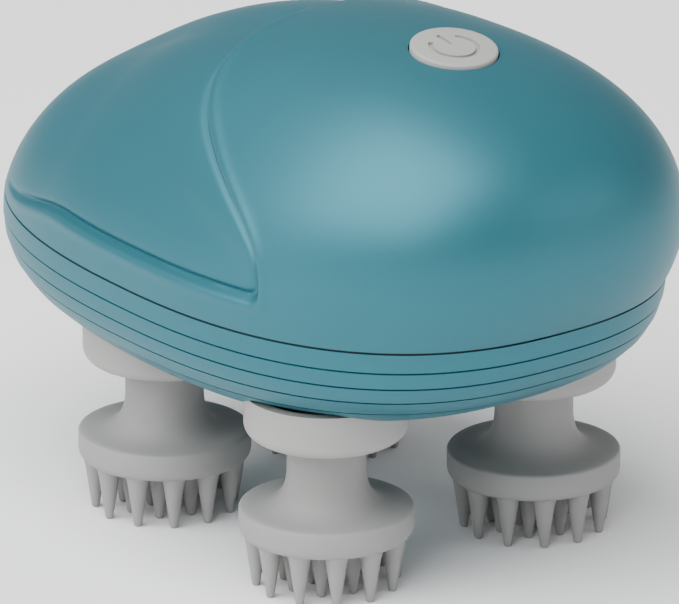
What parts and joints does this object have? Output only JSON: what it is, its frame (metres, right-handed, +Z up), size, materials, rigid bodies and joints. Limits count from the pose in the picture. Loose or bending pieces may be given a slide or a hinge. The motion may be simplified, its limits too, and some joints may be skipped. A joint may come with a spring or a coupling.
{
  "type": "scalp massager brush",
  "caption": "Hand-held scalp massager: domed two-shell body with a power button on top and silicone heads with tapered pins turning on drums below.",
  "frame": {"origin": "on the resting plane at the pin tips, under the middle of the body's plan box", "axes": "+X towards the front of the body, where the power button is; +Y to the body's left; +Z up from the pin tips to the dome"},
  "size_m": [0.1294, 0.0858, 0.0888],
  "materials": {
    "teal_shell": "satin painted plastic",
    "grey_case": "fine matte moulded plastic",
    "grey_silicone": "soft matte silicone",
    "dark_rubber": "matte rubber",
    "white_nylon": "moulded nylon",
    "black_plastic": "matte moulded plastic",
    "steel": "plated steel",
    "bearing_bronze": "sintered bronze",
    "battery_wrap": "shrink wrap",
    "board_green": "solder mask",
    "switch_white": "moulded plastic"
  },
  "bodies": {
    "housing": {"top_shell": "teal_shell", "lower_shell": "teal_shell", "shell_gasket": "dark_rubber", "gearbox_case": "grey_case", "gearbox_lid": "white_nylon", "lid_screws": "steel", "case_screws": "steel", "drive_axle": "steel", "idler_pins": "steel", "motor": "steel", "motor_clamp": "steel", "motor_screws": "steel", "battery": "battery_wrap", "battery_tray": "black_plastic", "control_board": "board_green", "control_chip": "black_plastic", "board_screws": "steel", "tact_switch": "black_plastic", "charging_port": "steel", "port_cover_pin": "steel", "shaft_bush_front_right": "bearing_bronze", "shaft_bush_front_left": "bearing_bronze", "shaft_bush_rear_right": "bearing_bronze", "shaft_bush_rear_left": "bearing_bronze", "shaft_seal_front_right": "dark_rubber", "shaft_seal_front_left": "dark_rubber", "shaft_seal_rear_right": "dark_rubber", "shaft_seal_rear_left": "dark_rubber"},
    "motor_rotor": {"motor_shaft": "steel", "motor_pinion": "bearing_bronze"},
    "drive_gear": {"drive_gear": "white_nylon"},
    "button": {"power_button": "grey_case", "switch_plunger": "switch_white"},
    "port_cover": {"port_cover": "dark_rubber"},
    "idler_front_right": {"idler_front_right": "white_nylon"},
    "head_front_right": {"head_front_right": "grey_silicone", "head_core_front_right": "black_plastic", "output_shaft_front_right": "steel", "output_gear_front_right": "white_nylon"},
    "idler_front_left": {"idler_front_left": "white_nylon"},
    "head_front_left": {"head_front_left": "grey_silicone", "head_core_front_left": "black_plastic", "output_shaft_front_left": "steel", "output_gear_front_left": "white_nylon"},
    "idler_rear_right": {"idler_rear_right": "white_nylon"},
    "head_rear_right": {"head_rear_right": "grey_silicone", "head_core_rear_right": "black_plastic", "output_shaft_rear_right": "steel", "output_gear_rear_right": "white_nylon"},
    "idler_rear_left": {"idler_rear_left": "white_nylon"},
    "head_rear_left": {"head_rear_left": "grey_silicone", "head_core_rear_left": "black_plastic", "output_shaft_rear_left": "steel", "output_gear_rear_left": "white_nylon"}
  },
  "joints": [
    {"name": "head_front_right_spin", "type": "hinge", "parent": "housing", "child": "head_front_right", "pos_m": [0.0254, -0.0213, 0.0253], "axis": [0, 0, 1], "continuous": true},
    {"name": "head_front_left_spin", "type": "hinge", "parent": "housing", "child": "head_front_left", "pos_m": [0.0254, 0.0213, 0.0253], "axis": [0, 0, 1], "continuous": true},
    {"name": "head_rear_right_spin", "type": "hinge", "parent": "housing", "child": "head_rear_right", "pos_m": [-0.0186, -0.0204, 0.0253], "axis": [0, 0, 1], "continuous": true},
    {"name": "head_rear_left_spin", "type": "hinge", "parent": "housing", "child": "head_rear_left", "pos_m": [-0.0256, 0.0192, 0.0253], "axis": [0, 0, 1], "continuous": true},
    {"name": "drive_gear_spin", "type": "hinge", "parent": "housing", "child": "drive_gear", "pos_m": [-0.0005, 0, 0.0332], "axis": [0, 0, 1], "continuous": true},
    {"name": "idler_front_right_spin", "type": "hinge", "parent": "housing", "child": "idler_front_right", "pos_m": [0.0097, -0.01531, 0.0332], "axis": [0, 0, 1], "continuous": true},
    {"name": "idler_front_left_spin", "type": "hinge", "parent": "housing", "child": "idler_front_left", "pos_m": [0.0097, 0.01531, 0.0332], "axis": [0, 0, 1], "continuous": true},
    {"name": "idler_rear_right_spin", "type": "hinge", "parent": "housing", "child": "idler_rear_right", "pos_m": [-0.01854, -0.0036, 0.0332], "axis": [0, 0, 1], "continuous": true},
    {"name": "idler_rear_left_spin", "type": "hinge", "parent": "housing", "child": "idler_rear_left", "pos_m": [-0.00905, 0.01629, 0.0332], "axis": [0, 0, 1], "continuous": true},
    {"name": "motor_spin", "type": "hinge", "parent": "housing", "child": "motor_rotor", "pos_m": [0.015, 0, 0.0332], "axis": [0, 0, 1], "continuous": true},
    {"name": "power_button_press", "type": "slide", "parent": "housing", "child": "button", "axis": [-0.1478, 0, -0.989], "range_m": [0, 0.0006], "stiffness_N_per_m": 400, "springref_m": -0.0004},
    {"name": "port_cover_swing", "type": "hinge", "parent": "housing", "child": "port_cover", "pos_m": [-0.06117, 0, 0.0368], "axis": [0, -1, 0], "range_deg": [0, 95]}
  ],
  "couplings": [
    {"joint": "head_front_left_spin", "follows": "head_front_right_spin", "ratio": 1},
    {"joint": "head_rear_right_spin", "follows": "head_front_right_spin", "ratio": 1},
    {"joint": "head_rear_left_spin", "follows": "head_front_right_spin", "ratio": 1},
    {"joint": "drive_gear_spin", "follows": "head_front_right_spin", "ratio": 0.85714},
    {"joint": "idler_front_right_spin", "follows": "head_front_right_spin", "ratio": -1.3333},
    {"joint": "idler_front_left_spin", "follows": "head_front_right_spin", "ratio": -1.3333},
    {"joint": "idler_rear_right_spin", "follows": "head_front_right_spin", "ratio": -1.3333},
    {"joint": "idler_rear_left_spin", "follows": "head_front_right_spin", "ratio": -1.3333},
    {"joint": "motor_spin", "follows": "head_front_right_spin", "ratio": -3.5714}
  ]
}
